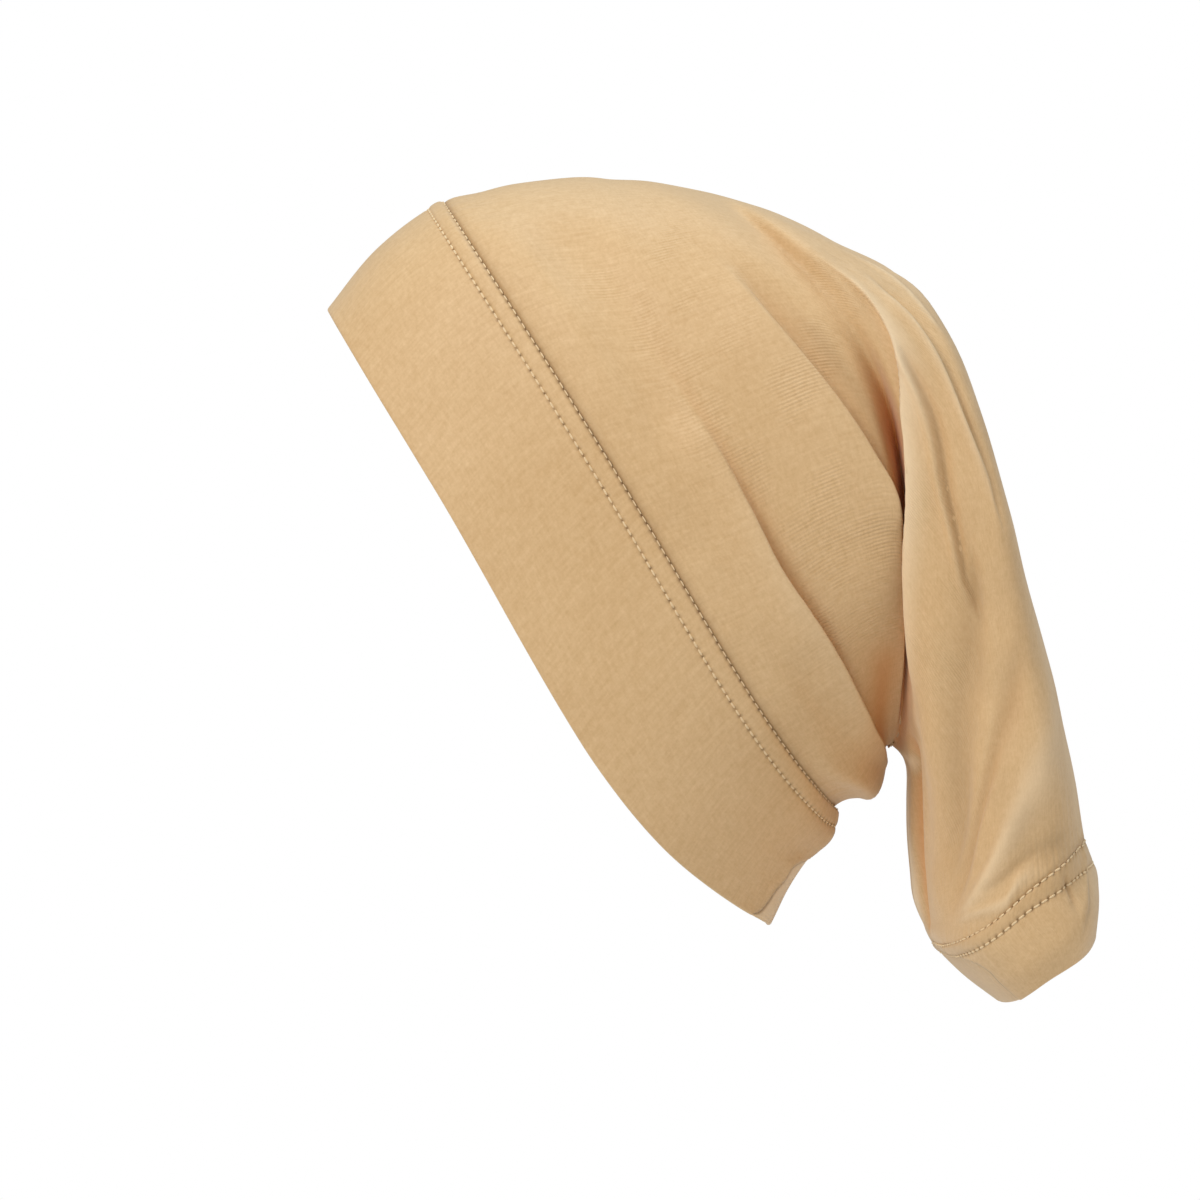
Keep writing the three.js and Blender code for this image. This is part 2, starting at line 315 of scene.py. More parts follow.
# The folds. A line holds (x, y, share of the height) in the picture's pixels, from the top
# down, and hidden ones follow it as (at, half turn, share). before is a crest's width on the
# front band's side and after on the other, and over leans the crest over the cloth behind it.
# trough is how deep the hollow behind the crest is, as a share of its height. Three amounts paint
# light and shade into the cloth's colour: the highlight amount paints the crest lighter, the warm
# shade amount paints its foot warmer and the dark shade amount paints it darker, or the line itself
# where the height isn't above 0. A height of 0 paints the tone alone. nearOnly and farOnly keep a
# fold to one side.
folds = [
    {   # smooth puff behind the band
        "line": [(478, 212, 0), (505, 235, 0.8), (545, 300, 1), (590, 372, 1), (632, 442, 1),
                 (672, 505, 0.6), (700, 550, 0)],
        "part": "crown", "before": 8, "after": 10, "height": 1.6,
    },
    {   # and its end
        "line": [(565, 210, 0), (582, 255, 0.8), (620, 300, 1), (650, 360, 1), (670, 410, 0.8),
                 (700, 450, 0)],
        "part": "crown", "before": 8, "after": 8, "height": -2.8,
    },
    {   # the fold that laps over the crown's lower end, with a painted highlight and painted shade at its foot
        "line": [(600, 285, 0), (640, 342, 0.15), (684, 402, 0.3), (722, 458, 0.45), (752, 512, 0.65),
                 (783, 572, 0.85), (804, 606, 1), (822, 634, 1), (844, 673, 1), (864, 712, 0.95),
                 (878, 738, 0.6)],
        "hidden": [(0.255, 0.95, 0)],
        "part": "crown", "before": 7.5, "after": 2.2, "height": 4.4, "over": 4.5, "trough": 0.5,
        "paintedHighlight": 0.15, "paintedWarmShade": 0.3, "paintedDarkShade": 0.15,
    },
    {   # the crown's second fold, that runs in behind the tail, with a painted highlight and painted shade at its foot
        "line": [(705, 250, 0), (750, 295, 0.6), (790, 340, 1), (830, 390, 1), (860, 435, 1),
                 (874, 459, 1), (887, 480, 1), (900, 506, 0.8)],
        "hidden": [(0.378, 0.62, 0.4), (0.38, 0.7, 0)],
        "part": "crown", "before": 15, "after": 3.6, "height": 4.2, "over": 4, "trough": 0.4,
        "paintedHighlight": 0.05, "paintedWarmShade": 0.08, "paintedDarkShade": 0.2,
    },
    {   # painted shade behind it, with no fold
        "line": [(790, 300, 0), (825, 345, 0.8), (860, 395, 1), (882, 440, 0.8), (893, 480, 0)],
        "part": "crown", "before": 9, "after": 7, "height": 0, "paintedDarkShade": 0.24,
    },
    {   # and painted shade where the crown runs in under the tail, with no fold
        "line": [(888, 630, 0), (884, 670, 0.8), (881, 705, 1), (880, 732, 1)],
        "part": "crown", "before": 9, "after": 9, "height": 0, "paintedWarmShade": 0.5, "paintedDarkShade": 0.2,
    },
    # painted shade on the tail beside it, with no fold
    {
        "line": [(908, 668, 0), (911, 695, 1), (911, 725, 1), (914, 746, 0)],
        "part": "tail", "before": 4, "after": 4, "height": 0, "paintedWarmShade": 0.2, "paintedDarkShade": 0.3, "nearOnly": True,
    },
    {   # hollow over the bulge at the lower end
        "line": [(790, 640, 0), (815, 690, 1), (850, 740, 1), (875, 765, 0.8)],
        "hidden": [(0.225, 1, 0.5)],
        "part": "crown", "before": 6, "after": 5, "height": -1.6,
    },
    {   # and the bulge
        "line": [(800, 740, 0), (840, 775, 1), (868, 788, 1)],
        "hidden": [(0.196, 1, 1)],
        "part": "crown", "before": 6, "after": 6, "height": 1.5,
    },
    {   # the tail's front lip, with a painted highlight on it
        "line": [(803, 246, 0), (836, 268, 0.3), (862, 290, 0.6), (882, 318, 0.8), (895, 350, 1),
                 (901, 382, 1), (904, 417, 1), (905, 452, 1), (906, 494, 1), (906, 559, 1),
                 (905, 610, 0.9), (907, 665, 0.6), (912, 700, 0)],
        "part": "tail", "before": 3, "after": 9, "height": 3, "over": -5, "paintedHighlight": 0.65,
    },
    {   # thin line behind the lip, with a painted highlight and painted shade at its foot
        "line": [(901, 340, 0), (913, 375, 0.8), (926, 413, 1), (937, 480, 1), (950, 536, 0.8),
                 (962, 590, 0.5), (990, 660, 0)],
        "part": "tail", "before": 3.2, "after": 2, "height": 2.2, "trough": 0.9, "paintedHighlight": 0.1, "paintedDarkShade": 0.3,
    },
    {   # raised band along the tail's top, with a painted highlight and painted shade at its foot
        "line": [(850, 262, 0), (885, 292, 0.6), (915, 319, 1), (936, 350, 1), (950, 380, 1),
                 (964, 415, 1), (976, 445, 0.8), (990, 485, 0.5)],
        "part": "tail", "before": 7, "after": 2.4, "height": 1.7, "trough": 0.8, "paintedHighlight": 0.35, "paintedDarkShade": 0.3,
    },
    # a low crest with a painted highlight and painted shade at its foot
    {
        "line": [(845, 252, 0), (879, 268, 1), (905, 288, 1), (928, 313, 1), (943, 335, 0)],
        "part": "tail", "before": 1.8, "after": 1.8, "height": 0.8, "paintedHighlight": 0.5, "paintedDarkShade": 0.2,
    },
    {   # hollow down the tail's side, with painted shade in it
        "line": [(975, 530, 0), (975, 600, 0.9), (964, 680, 0.8), (957, 750, 1), (955, 830, 0.9),
                 (952, 915, 0)],
        "part": "tail", "before": 10, "after": 13, "height": -2.8, "paintedDarkShade": 0.3,
    },
    # a second hollow, with painted shade in it
    {
        "line": [(1030, 640, 0), (1015, 700, 0.8), (990, 770, 1), (972, 830, 1), (958, 890, 0.6),
                 (950, 920, 0)],
        "part": "tail", "before": 7, "after": 6, "height": -1.9, "paintedDarkShade": 0.2, "paintedWarmShade": 0.1,
    },
    {   # swelling above the tail band, with a painted highlight
        "line": [(1058, 700, 0), (1042, 770, 0.9), (1008, 832, 1), (975, 890, 0.8), (955, 920, 0)],
        "part": "tail", "before": 11, "after": 11, "height": 3, "paintedHighlight": 0.4,
    },
    # a crease with painted shade in it
    {
        "line": [(1074, 832, 0), (1058, 842, 1), (1040, 850, 1), (995, 885, 0.8), (980, 888, 0)],
        "part": "tail", "before": 1.8, "after": 1.8, "height": -0.7, "paintedDarkShade": 0.22,
    },
    # a small crest with a painted highlight
    {
        "line": [(1050, 868, 0), (1018, 883, 0.8), (1000, 905, 1), (949, 923, 0)],
        "part": "tail", "before": 3, "after": 3, "height": 1.4, "paintedHighlight": 0.4,
    },
    {   # hollow along the tail's underside, with a roll of cloth on either side, and painted warm shade in it
        "line": [],
        "hidden": [(0.49, 0.83, 0), (0.55, 0.87, 1), (0.6, 0.9, 1), (0.65, 0.925, 1), (0.7, 0.935, 1),
                   (0.82, 0.945, 0.7), (0.92, 0.95, 0)],
        "part": "tail", "before": 5, "after": 5, "height": -4, "nearOnly": True, "paintedWarmShade": 0.6,
    },
    {
        "line": [],
        "hidden": [(0.5, 0.79, 0), (0.55, 0.82, 1), (0.6, 0.85, 1), (0.65, 0.88, 1), (0.72, 0.9, 1),
                   (0.88, 0.91, 0)],
        "part": "tail", "before": 9, "after": 11, "height": -2.2, "nearOnly": True,
    },
    {   # and the far roll, with a painted highlight
        "line": [],
        "hidden": [(0.5, 0.965, 0), (0.54, 0.968, 1), (0.7, 0.975, 1), (0.85, 0.98, 0)],
        "part": "tail", "before": 8, "after": 7, "height": 0.3, "paintedHighlight": 1.2,
    },
    # a painted highlight on the far roll, on the far side only
    {
        "line": [],
        "hidden": [(0.5, 0.92, 0), (0.55, 0.93, 1), (0.7, 0.95, 1), (0.88, 0.96, 0)],
        "part": "tail", "before": 11, "after": 11, "height": 0.3, "paintedHighlight": 1, "farOnly": True,
    },
    {   # soft drapes down the tail's back
        "line": [],
        "hidden": [(0.55, 0.13, 0), (0.64, 0.12, 0.9), (0.76, 0.09, 1), (0.88, 0.07, 0.7),
                   (0.95, 0.06, 0)],
        "part": "tail", "before": 9, "after": 11, "height": -2.4, "nearOnly": True,
    },
    {
        "line": [],
        "hidden": [(0.53, 0.06, 0), (0.6, 0.075, 0.8), (0.72, 0.1, 1), (0.86, 0.13, 0.6),
                   (0.93, 0.14, 0)],
        "part": "tail", "before": 12, "after": 8, "height": -2.6, "farOnly": True,
    },
    {
        "line": [],
        "hidden": [(0.56, 0.21, 0), (0.66, 0.23, 1), (0.8, 0.22, 1), (0.92, 0.2, 0)],
        "part": "tail", "before": 8, "after": 10, "height": -2.2, "farOnly": True,
    },
    {   # a painted highlight where the far side shows under the crown's end, with no fold
        "line": [(888, 748, 0.5), (899, 752, 1), (910, 762, 1), (913, 778, 0)],
        "part": "tail", "before": 6, "after": 6, "height": 0, "paintedHighlight": 0.8, "nearOnly": True,
    },
    {   # wrinkles at the hem's corner, with painted shade
        "line": [(1083, 838, 0.5), (1087, 866, 1), (1087, 895, 0.8), (1083, 920, 0.4), (1077, 940, 0)],
        "part": "tail", "before": 3, "after": 1.3, "height": 1.1, "nearOnly": True, "paintedDarkShade": 0.45,
    },
    # and a crease there with painted shade
    {
        "line": [(1060, 878, 0), (1068, 886, 1), (1073, 900, 0.7), (1074, 920, 0)],
        "part": "tail", "before": 2.5, "after": 2, "height": -1, "nearOnly": True, "paintedDarkShade": 0.3,
    },
]

fabric = {
    "lineStep": 3,
    "farShare": 0.8,  # how high the folds are on the far side
    "farSlide": 4.5,  # and how far they lie from their place on the near side
    "waves": 14,
    "waveShort": 24,
    "waveLong": 70,
    "waveHeight": 0.22,
    "bandCalm": 0.35,  # share of the waves that the doubled band shows
    "calmBefore": 10,  # the band's seam
    "calmAfter": 15,
    "seed": 4,
}

# Places and widths across a fold, as multiples of its crest's own widths.
foldForm = {
    "reach": 3.5,
    "troughAt": 2,
    "troughWidth": 2.5,
    "footAt": 1.6,
    # widths of the painted highlight on the crest
    "highlightBefore": 0.6,
    "highlightAfter": 0.8,
}


def foldLine(fold):
    points = []
    if fold["line"]:
        share = np.array([point[2] for point in fold["line"]])
        rise = max(fold["height"], 0) * rampUp(0, 1, share)
        places = raisedPlaces([point[:2] for point in fold["line"]], fold["part"], rise)
        points = [(u, v, amount) for (u, v), amount in zip(places, share)]
    points += [(at * sizes["tubeLength"], half * sizes["halfRound"], amount)
               for at, half, amount in fold.get("hidden", ())]
    points = np.array(points)
    run = np.concatenate([[0], np.cumsum(np.linalg.norm(np.diff(points[:, :2], axis=0), axis=1))])
    steps = np.linspace(0, run[-1], max(3, int(run[-1] / fabric["lineStep"])))
    return np.stack([smoothLine(steps, run, points[:, k]) for k in range(3)], axis=-1)


# How far cloth lies from a fold's line, the line's share there, and which way across it is.
def besideLine(line, u, v):
    nearest = np.full(u.shape, np.inf)
    side, share = np.zeros(u.shape), np.zeros(u.shape)
    acrossU, acrossV = np.zeros(u.shape), np.zeros(u.shape)
    for start, end in zip(line[:-1], line[1:]):
        runU, runV = end[0] - start[0], end[1] - start[1]
        length = math.hypot(runU, runV)
        t = np.clip(((u - start[0]) * runU + (v - start[1]) * runV) / length ** 2, 0, 1)
        gapU, gapV = u - start[0] - t * runU, v - start[1] - t * runV
        gap = np.hypot(gapU, gapV)
        closer = gap < nearest
        nearest = np.where(closer, gap, nearest)
        side = np.where(closer, np.sign(runV * gapU - runU * gapV), side)
        share = np.where(closer, start[2] + t * (end[2] - start[2]), share)
        acrossU = np.where(closer, runV / length, acrossU)
        acrossV = np.where(closer, -runU / length, acrossV)
    return nearest * side, share, acrossU, acrossV


# What the folds do to one side's cloth: how far they lift it, how far they move it along and
# round the tube, and the shade and highlight that they paint into its colour.
def foldSide(lines, slide, height):
    lift, shiftU, shiftV, paintedShadeAndHighlight, paintedDarkShade = (np.zeros(cloth["u"].shape) for _ in range(5))
    u = cloth["u"] - slide
    for fold, line in lines:
        before, after = fold["before"], fold["after"]
        reach = foldForm["reach"] * max(before, after)
        inside = (u[:, 0] > line[:, 0].min() - reach) & (u[:, 0] < line[:, 0].max() + reach)
        rows = np.nonzero(inside)[0]
        if not len(rows):
            continue
        part = (slice(rows[0], rows[-1] + 1), slice(None))
        offset, share, acrossU, acrossV = besideLine(line, u[part], cloth["v"][part])
        rise = height * rampUp(0, 1, share)
        offset = offset + fold.get("over", 0) * rise
        crest = bell(offset, before, after)
        trough = bell(offset - foldForm["troughAt"] * after, after, foldForm["troughWidth"] * after)
        lift[part] += fold["height"] * rise * (crest - fold.get("trough", 0) * trough)
        lean = fold.get("over", 0) * rise * crest
        shiftU[part] += lean * acrossU
        shiftV[part] += lean * acrossV
        # painted shade at the fold's foot and a painted highlight on its crest
        footAt = foldForm["footAt"] * after if fold["height"] > 0 else 0
        foot = rise * bell(offset - footAt, after, after)
        top = rise * bell(offset, foldForm["highlightBefore"] * before, foldForm["highlightAfter"] * after)
        paintedShadeAndHighlight[part] += fold.get("paintedWarmShade", 0) * foot - fold.get("paintedHighlight", 0) * top
        paintedDarkShade[part] += fold.get("paintedDarkShade", 0) * foot
    return lift, shiftU, shiftV, paintedShadeAndHighlight, paintedDarkShade


# the far side mirrors the near one, with softer folds that lie a little farther back
def foldWhole(lines):
    slope = np.sin(math.pi * cloth["v"][:1] / sizes["halfRound"])
    nearLines = [pair for pair in lines if not pair[0].get("farOnly")]
    farLines = [pair for pair in lines if not pair[0].get("nearOnly")]
    nearFolds = foldSide(nearLines, 0, 1)
    farFolds = foldSide(farLines, fabric["farSlide"] * slope, 1 - (1 - fabric["farShare"]) * slope)
    whole = [np.concatenate([a, b[:, -2:0:-1]], axis=1) for a, b in zip(nearFolds, farFolds)]
    whole[2][:, nearColumns:] *= -1  # round the tube is the other way there
    return whole


# long, low waves that no cloth is without
def softWaves(points):
    random = np.random.default_rng(fabric["seed"])
    lift = np.zeros(points.shape[:-1])
    for _ in range(fabric["waves"]):
        heading = unit(random.normal(size=3))
        length = random.uniform(fabric["waveShort"], fabric["waveLong"])
        lift += np.sin(2 * math.pi * (points @ heading / length + random.uniform()))
    return lift * fabric["waveHeight"] / math.sqrt(fabric["waves"] / 2)


seamPlaces = {
    "bandRowOne": sizes["bandWidth"] - sizes["stripWidth"],
    "bandRowTwo": sizes["bandWidth"],
    "tailRowOne": sizes["tubeLength"] - sizes["tailBandWidth"],
    "tailRowTwo": sizes["tubeLength"] - sizes["tailBandWidth"] + sizes["stripWidth"],
}

puckers = {
    "height": 0.11,
    "fade": 7,
    "bandShare": 0.25,
    "round": (61, 83, 104),  # how many go round the tube
}


# small gathers that a seam draws into the cloth beside it
def seamPuckers(u, turn):
    random = np.random.default_rng(fabric["seed"] + 1)
    lift = np.zeros(np.broadcast(u, turn).shape)
    for place, inBand in ((seamPlaces["bandRowTwo"], -1), (seamPlaces["tailRowOne"], 1)):
        beside = u - place
        fade = np.exp(-np.abs(beside) / puckers["fade"])
        fade = fade * np.where(beside * inBand > 0, puckers["bandShare"], 1)
        ripple = sum(np.sin(2 * math.pi * (count * turn + random.uniform())) for count in puckers["round"])
        lift += puckers["height"] * fade * ripple
    return lift


def drapeGrid():
    lift, shiftU, shiftV, paintedShadeAndHighlight, paintedDarkShade = foldWhole([(fold, foldLine(fold)) for fold in folds])
    u = (gridAt * sizes["tubeLength"])[:, None]
    seam = seamPlaces["bandRowTwo"]
    behind = rampUp(seam - fabric["calmBefore"], seam + fabric["calmAfter"], u)
    calm = fabric["bandCalm"] + (1 - fabric["bandCalm"]) * behind
    lift = lift + softWaves(plainGrid) * calm + seamPuckers(u, gridTurn[None, :])
    points = plainGrid + outGrid * lift[..., None]
    points = points + alongGrid * shiftU[..., None] + aroundGrid * shiftV[..., None]
    return points, np.stack([paintedShadeAndHighlight, paintedDarkShade], axis=-1)


# toneGrid holds the shade and highlight that the folds paint into the cloth's colour
drapedGrid, toneGrid = drapeGrid()
drapedAlong, drapedAround, drapedOut = gridDirections(drapedGrid)
print("cloth draped")


knit = {
    "walesRound": 520,  # whole ribs round the tube
    "course": 1.1,  # millimetres
    "rimAngles": (30, 60, 90, 120, 150),  # where a folded edge has points
}


# A closed wall of cloth between two places along the tube. Its inside has half as many
# points each way. relief and tones are functions of the place along the cloth and the turn, and
# the tones are shade and highlight painted into the colour.
def clothSheet(name, stations, columns, wall, relief, tones, foldedStart=False, foldedEnd=False):
    # an odd number of stations, so that every second one reaches both ends
    if len(stations) % 2 == 0:
        shares = np.linspace(0, 1, len(stations) + 1)
        stations = np.interp(shares, np.linspace(0, 1, len(stations)), stations)
    turns = np.arange(columns) / columns
    station, turn = np.meshgrid(stations, turns, indexing="ij")
    out, along = unit(readGrid(drapedOut, station, turn)), unit(readGrid(drapedAlong, station, turn))
    outer = readGrid(drapedGrid, station, turn) + out * relief(station, turn)[..., None]
    inner = outer - out * wall

    def rim(row, sign, angles):
        middle = (outer[row] + inner[row]) / 2
        return [middle + (out[row] * math.cos(a) + sign * along[row] * math.sin(a)) * wall / 2
                for a in map(math.radians, angles)]

    startRim = rim(0, -1, knit["rimAngles"][::-1]) if foldedStart else []
    endRim = rim(-1, 1, knit["rimAngles"]) if foldedEnd else []
    strip = np.array(startRim + list(outer) + endRim)
    stripPlace = np.concatenate([[stations[0]] * len(startRim), stations, [stations[-1]] * len(endRim)])
    lining = inner[::-2, ::2]
    liningPlace = stations[::-2]
    ends, few = len(strip), columns // 2

    def stripIndex(i, j):
        return i * columns + j % columns

    def liningIndex(i, j):
        return ends * columns + i * few + j % few

    # Faces, a row each: their corners' indices, turns counted in columns, and places along.
    def quads(count, number, index, place, step):
        i, j = (g.ravel() for g in np.meshgrid(np.arange(count - 1), np.arange(number), indexing="ij"))
        corners = [(i, j), (i, j + 1), (i + 1, j + 1), (i + 1, j)]
        return (np.stack([index(a, b) for a, b in corners], 1),
                np.stack([b * step for _, b in corners], 1),
                np.stack([place[a] for a, _ in corners], 1))

    # the same between a row of the strip and one of the lining
    def bridge(stripRow, liningRow, turnedRound):
        j = np.arange(few)
        corners = [stripIndex(stripRow, 2 * j + k) for k in (0, 1, 2)]
        corners += [liningIndex(liningRow, j + k) for k in (1, 0)]
        counts = [2 * j, 2 * j + 1, 2 * j + 2, 2 * j + 2, 2 * j]
        if turnedRound:
            corners.reverse()
            counts.reverse()
        places = np.full((few, len(counts)), stripPlace[stripRow])
        return np.stack(corners, 1), np.stack(counts, 1), places

    parts = [
        quads(ends, columns, stripIndex, stripPlace, 1),
        quads(len(lining), few, liningIndex, liningPlace, 2),
        bridge(ends - 1, 0, False),
        bridge(0, len(lining) - 1, True),
    ]
    points = np.concatenate([strip.reshape(-1, 3), lining.reshape(-1, 3)]) / 1000
    mesh = bpy.data.meshes.new(name)
    mesh.from_pydata(points.tolist(), [], [face for part in parts for face in part[0].tolist()])
    ribs = np.concatenate([part[1].ravel() for part in parts]) / columns * knit["walesRound"]
    courses = np.concatenate([part[2].ravel() for part in parts]) / knit["course"]
    layer = mesh.uv_layers.new(name="knit")
    layer.data.foreach_set("uv", np.stack([ribs, courses], 1).ravel().astype(np.float32))
    # the shade and highlight painted into the colour, the folds' and the sheet's own
    foldTones = readGrid(toneGrid, station, turn)
    first = len(startRim) * columns
    for k, (key, own) in enumerate(zip(("paintedShadeAndHighlight", "paintedDarkShade"), tones(station, turn))):
        tone = np.zeros(len(points), dtype=np.float32)
        tone[first:first + station.size] = (own + foldTones[..., k]).ravel()
        mesh.attributes.new(key, "FLOAT", "POINT").data.foreach_set("value", tone)
    mesh.shade_smooth()
    piece = bpy.data.objects.new(name, mesh)
    bpy.context.collection.objects.link(piece)
    return piece


spread = {
    "samples": 2000,
    "blend": 4,  # over which the spacing changes
}


# places along the cloth, closer together where folds are sharp: (low, high, step) in millimetres
def closeStations(start, end, spacing, closer=()):
    fine = np.linspace(start, end, spread["samples"])
    density = np.full(fine.shape, 1 / spacing)
    for low, high, step in closer:
        inside = rampUp(low - spread["blend"], low, fine) * (1 - rampUp(high, high + spread["blend"], fine))
        density = np.maximum(density, inside / step)
    count = np.concatenate([[0], np.cumsum((density[1:] + density[:-1]) / 2 * np.diff(fine))])
    steps = int(round(count[-1]))
    return np.interp(np.linspace(0, count[-1], steps + 1), count, fine)


stitch = {
    "pitch": 3,
    "slots": 1600,  # places round the tube that a row is measured at
}


# where along a row of stitches each turn lies, counted in stitches
def rowCount(place):
    turn = np.linspace(0, 1, stitch["slots"] + 1)
    line = readGrid(drapedGrid, np.full(turn.shape, float(place)), turn)
    run = np.concatenate([[0], np.cumsum(np.linalg.norm(np.diff(line, axis=0), axis=1))])
    return turn, run / run[-1] * round(run[-1] / stitch["pitch"])


stitchRows = {name: {"place": place, "count": rowCount(place)} for name, place in seamPlaces.items()}


# 1 in the hole between two stitches of a row and 0 away from it
def rowHoles(row, station, turn, width, share):
    count = np.interp(turn % 1, *row["count"])
    between = np.abs(count - np.round(count))
    return bell(station - row["place"], width, width) * np.exp(-(between / share) ** 2)


frontBand = {
    "columns": 800,
    "spacing": 1.0,
    "wall": 1.9,
    "proud": 0.5,
    "stripRise": 0.55,
    "rowDepth": 0.22,
    "ditchDepth": 0.45,
    "holeDepth": 0.4,
    "rowOne": "bandRowOne",
    "rowTwo": "bandRowTwo",
    "stitches": {"rowOne": (1, 0.12), "rowTwo": (0.7, 0.05)},  # thickness as a share, and rise
    # painted shade in the second row's ditch and along the join, a darker strip between the rows, and a
    # painted highlight past the join
    "ditchPaintedShade": 0.5,
    "stripDarkening": 0,
    "joinStep": 1.2,
    "joinShade": 1,
    "joinWidth": 2.2,
    "joinPaintedHighlight": 0.5,
    # the seam that joins the band's ends, in the picture
    "join": ((750, 913), (756, 910), (764, 901), (773, 887), (782, 877), (791, 864), (806, 856), (824, 841)),
    "joinPart": "crown",
}

tailBand = {
    "columns": 640,
    "spacing": 1.0,
    "wall": 1.9,
    "proud": 0.15,
    "stripRise": 0.35,
    "rowDepth": 0.2,
    "ditchDepth": 0.2,
    "holeDepth": 0.45,
    "rowOne": "tailRowOne",
    "rowTwo": "tailRowTwo",
    "stitches": {"rowOne": (1, 0.14), "rowTwo": (1, 0.12)},
    # painted shade in the ditch and along the join, a darker strip between the rows, and a painted highlight
    # past the join
    "ditchPaintedShade": 0,
    "stripDarkening": 0.13,
    "joinStep": 0.5,
    "joinShade": 0.6,
    "joinWidth": 0.9,
    "joinPaintedHighlight": 0,
    "join": ((946, 950), (979, 962), (1004, 984)),
    "joinPart": "tail",
}

# What both bands' seams share. Shares of a stitch count from the middle of a hole.
seamForm = {
    "stripPower": 0.7,  # below 1 the strip is fuller than an arch
    "stripSpacing": 0.5,  # of stations in the strip, and a little beside it
    "stripBeside": 1,
    "rowWidth": 0.6,
    "holeShare": 0.16,
    "joinGap": 1,
    "joinFade": 9,
    "joinEdge": (-0.4, 0.5),
}

# the seams' painted shade, in the holes between stitches, in the ditch and along the join, and a painted
# highlight on the cloth past the join
seamTone = {
    "holeWidth": 0.7,
    "holeShare": 0.2,
    "holePaintedShade": 0.8,
    "ditchWidth": 0.5,
    "stripEdge": 0.5,
    "topShare": 0.25,  # how much of the seam's painted shade is left at the top of the cap
    "topFade": (0.04, 0.26),  # half turn
    "highlightFrom": (3, 5),
    "highlightTo": (12, 25),
    "joinAt": 1.5,
}


# How far past the seam that joins a band's ends the cloth lies, as a function of the place
# along it and the turn.
def pastJoin(band):
    places = np.array([clothPlace(x, y, band["joinPart"]) for x, y in band["join"]])
    places = places[np.argsort(places[:, 0])]
    keep = np.concatenate([[True], np.diff(places[:, 0]) > seamForm["joinGap"]])
    stations, turns = places[keep, 0], places[keep, 1] / sizes["halfRound"] / 2
    return lambda station, turn: (turn - smoothLine(station, stations, turns)) * 2 * sizes["halfRound"]


# The strip between a band's rows of stitching, the rows themselves, and the seam that joins
# the band's ends, where one end lies on the other.
def bandRelief(band):
    rowOne, rowTwo = stitchRows[band["rowOne"]], stitchRows[band["rowTwo"]]
    width, share = seamForm["rowWidth"], seamForm["holeShare"]
    past = pastJoin(band)

    def relief(station, turn):
        across = np.clip((station - rowOne["place"]) / sizes["stripWidth"], 0, 1)
        strip = band["stripRise"] * np.sin(math.pi * across) ** seamForm["stripPower"]
        rows = band["rowDepth"] * bell(station - rowOne["place"], width, width)
        rows = rows + band["ditchDepth"] * bell(station - rowTwo["place"], width, width)
        holes = rowHoles(rowOne, station, turn, width, share) + rowHoles(rowTwo, station, turn, width, share)
        beside = past(station, turn)
        step = band["joinStep"] * np.exp(-(np.minimum(beside, 0) / seamForm["joinFade"]) ** 2)
        step = step * (1 - rampUp(*seamForm["joinEdge"], beside))
        return band["proud"] + strip - rows - band["holeDepth"] * holes + step

    return relief


# painted shade in a band's stitch holes, ditch and join, a darker strip between its rows, and a painted
# highlight past the join
def bandTones(band):
    rowOne, rowTwo = stitchRows[band["rowOne"]], stitchRows[band["rowTwo"]]
    width, share = seamTone["holeWidth"], seamTone["holeShare"]
    past = pastJoin(band)

    def tones(station, turn):
        holes = rowHoles(rowOne, station, turn, width, share) + rowHoles(rowTwo, station, turn, width, share)
        ditch = bell(station - rowTwo["place"], seamTone["ditchWidth"], seamTone["ditchWidth"])
        fade = rampUp(*seamTone["topFade"], halfTurnOf(turn))
        stitched = seamTone["holePaintedShade"] * holes + band["ditchPaintedShade"] * ditch
        stitched = stitched * (seamTone["topShare"] + (1 - seamTone["topShare"]) * fade)
        edge = seamTone["stripEdge"]
        strip = rampUp(rowOne["place"] - edge, rowOne["place"] + edge, station)
        strip = strip * (1 - rampUp(rowTwo["place"] - edge, rowTwo["place"] + edge, station))
        beside = past(station, turn)
        paintedHighlight = rampUp(*seamTone["highlightFrom"], beside) * (1 - rampUp(*seamTone["highlightTo"], beside))
        joined = bell(beside - seamTone["joinAt"], band["joinWidth"], band["joinWidth"])
        return -band["joinPaintedHighlight"] * paintedHighlight, stitched + band["joinShade"] * joined + band["stripDarkening"] * strip

    return tones


def makeFrontBand():
    end = seamPlaces["bandRowTwo"]
    strip = (seamPlaces["bandRowOne"] - seamForm["stripBeside"], end, seamForm["stripSpacing"])
    stations = closeStations(0, end, frontBand["spacing"], [strip])
    return clothSheet("band_cloth", stations, frontBand["columns"], frontBand["wall"],
                      bandRelief(frontBand), bandTones(frontBand), foldedStart=True)


def makeTailBand():
    start = seamPlaces["tailRowOne"]
    strip = (start, seamPlaces["tailRowTwo"] + seamForm["stripBeside"], seamForm["stripSpacing"])
    stations = closeStations(start, sizes["tubeLength"], tailBand["spacing"], [strip])
    return clothSheet("tail_band_cloth", stations, tailBand["columns"], tailBand["wall"],
                      bandRelief(tailBand), bandTones(tailBand), foldedEnd=True)


crownTube = {
    "columns": 360,
    "spacing": 1.9,
    "closer": [(82, 104, 0.85), (118, 146, 1.1), (156, 190, 0.9), (190, 225, 1.4)],
    "wall": 0.8,
    "tuckIn": 0.35,  # how far its ends dip beside the bands
    "tuckWidths": (1, 2),
    "tailTuck": 0.25,  # share of that beside the tail band
    # painted shade where the crown dips beside the bands, and painted warm shade in the groove
    "tuckPaintedShade": 0.35,
    "groovePaintedShade": 0.9,
    "grooveWidths": (0.052, 0.036),
    "grooveInset": 0.06,  # half turn
    "grooveLoss": 0.3,  # how much less its painted shade is lower down
    "lossFrom": (0.6, 0.8),  # half turn
}


